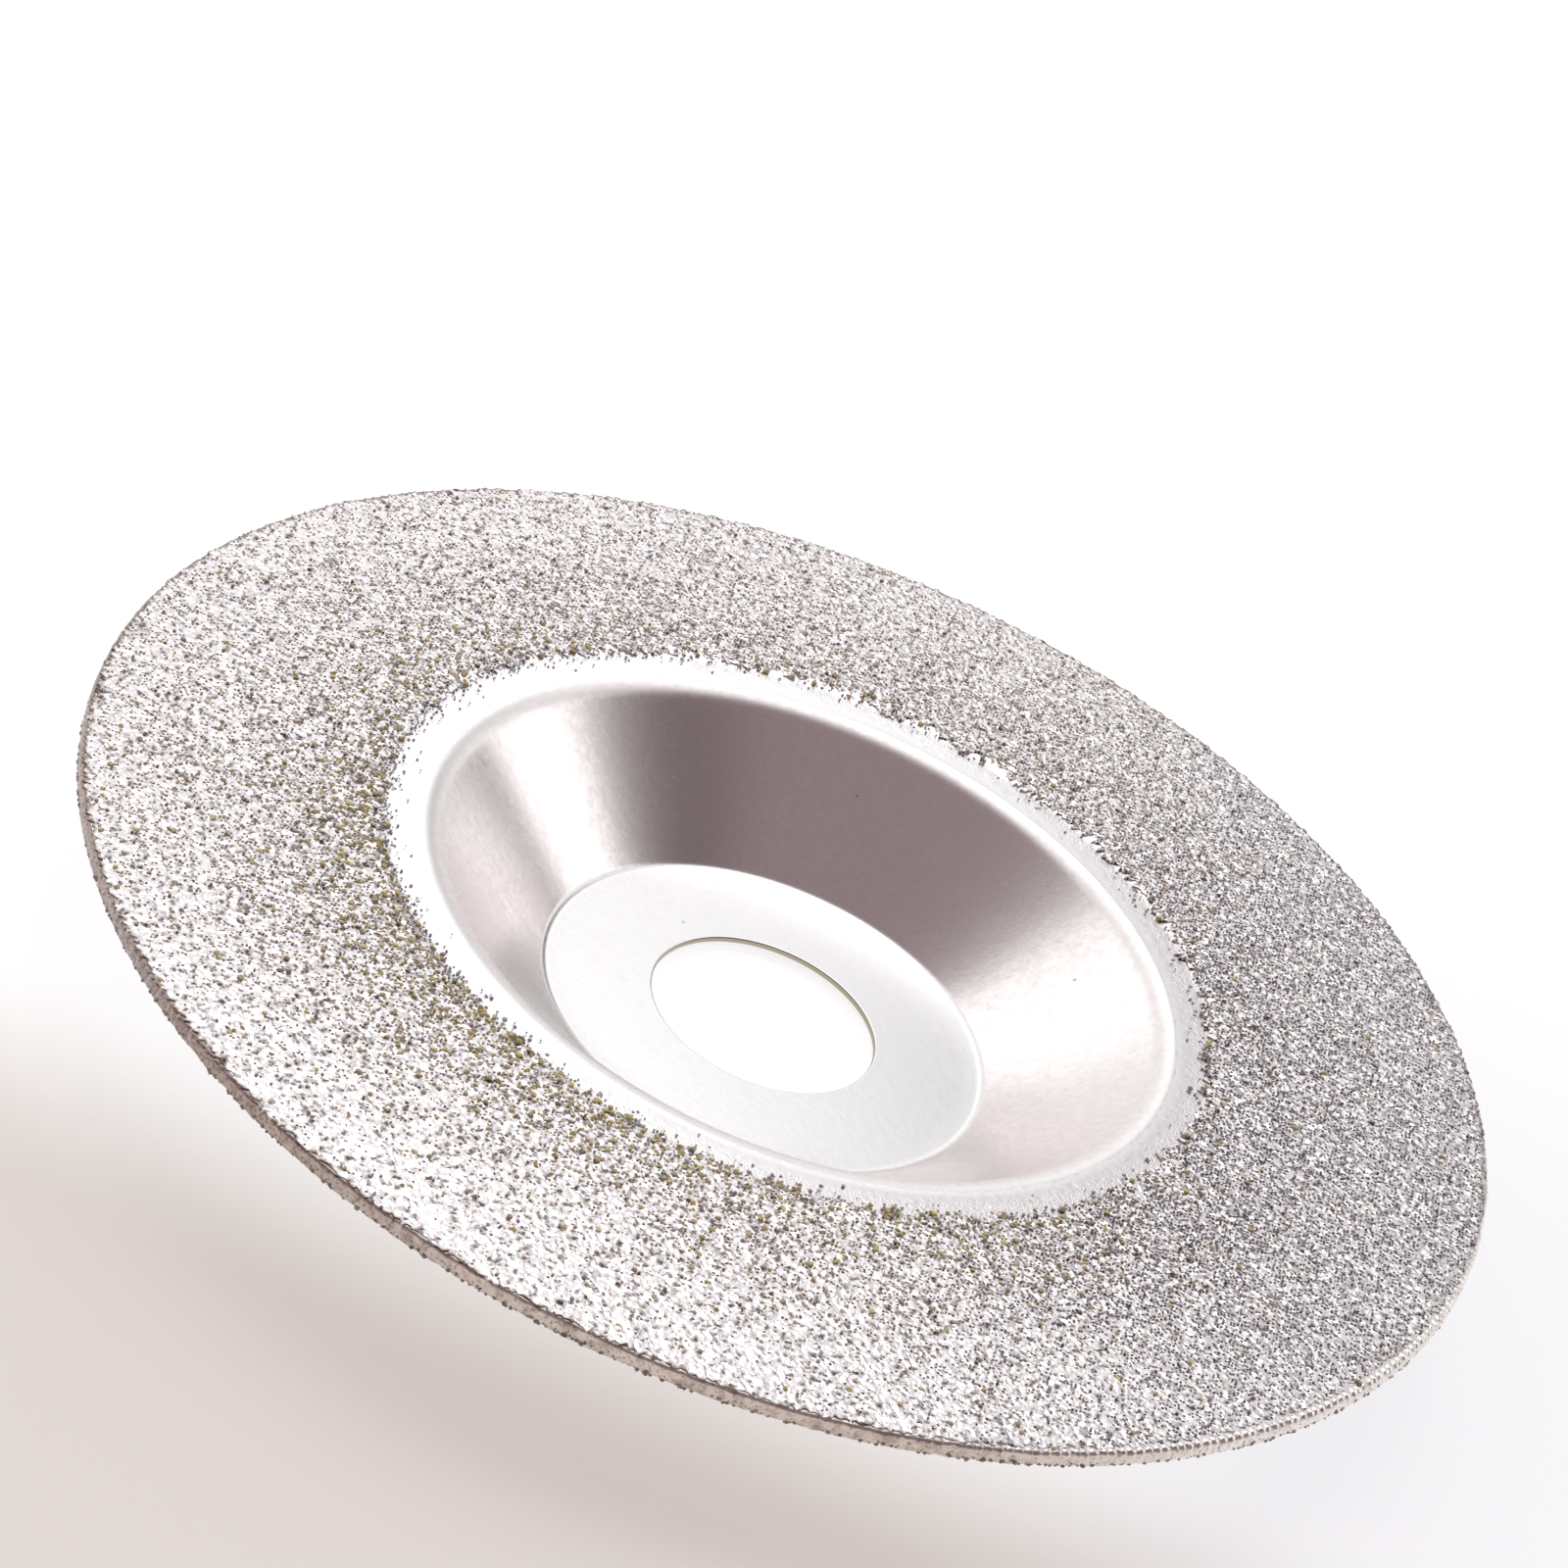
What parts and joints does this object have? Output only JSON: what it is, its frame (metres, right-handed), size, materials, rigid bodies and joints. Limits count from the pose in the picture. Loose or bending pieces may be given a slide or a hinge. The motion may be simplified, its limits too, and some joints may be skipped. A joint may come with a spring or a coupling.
{
  "type": "diamond grinding disc",
  "caption": "Dished steel grinding disc for a small angle grinder, its flat rim electroplated with diamond grit in nickel, with a sunk hub and a plain round bore.",
  "frame": {"origin": "middle of the hub's back face, which the disc rests on and which seats on the grinder's flange", "axes": "+Z along the disc's axis, out of the grit face; X and Y in the disc's plane"},
  "size_m": [0.1, 0.1, 0.0096],
  "materials": {
    "pressed_steel": "satin pressed steel, plated bright",
    "nickel_bond": "frosted bright nickel plate",
    "diamond_grit": "sparkling diamond grit in nickel, olive grains among bright ones",
    "nickel_edge": "smooth warm nickel plate"
  },
  "bodies": {
    "root": {"pressed_disc": "pressed_steel", "front_nickel_bond": "nickel_bond", "front_diamond_grit": "diamond_grit", "edge_nickel_band": "nickel_edge", "back_corner_grit": "diamond_grit"}
  },
  "joints": []
}
